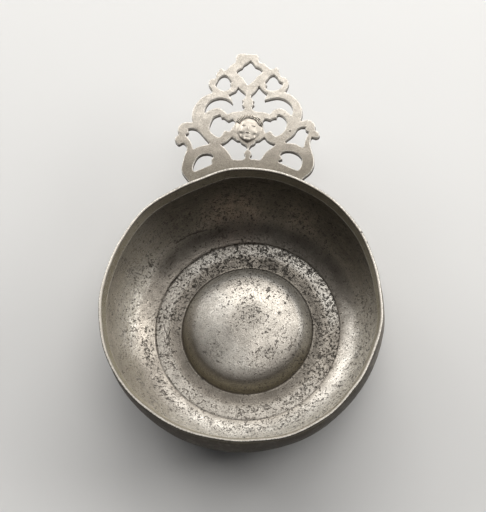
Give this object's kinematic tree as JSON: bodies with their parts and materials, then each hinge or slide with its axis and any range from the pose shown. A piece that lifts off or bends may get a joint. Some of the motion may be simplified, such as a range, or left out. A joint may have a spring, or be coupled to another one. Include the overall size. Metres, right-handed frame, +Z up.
{
  "type": "porringer",
  "caption": "Shallow bellied pewter bowl with a flared collar, a domed boss inside its floor, and a flat pierced ear handle just below the lip.",
  "frame": {"origin": "on the bowl's axis, in the plane of its foot ring", "axes": "+Z up out of the bowl's mouth, +Y from the bowl's axis along the handle, +X to the right seen from the bowl's front"},
  "size_m": [0.1378, 0.2008, 0.048],
  "materials": {
    "bowl_pewter": "worn, pitted grey pewter, darker in the hollows",
    "handle_pewter": "worn pewter, bright on its rubbed edges",
    "joint_pewter": "dull uncleaned pewter"
  },
  "bodies": {
    "root": {"bowl": "bowl_pewter", "handle": "handle_pewter", "bracket": "handle_pewter", "joint_metal": "joint_pewter"}
  },
  "joints": []
}
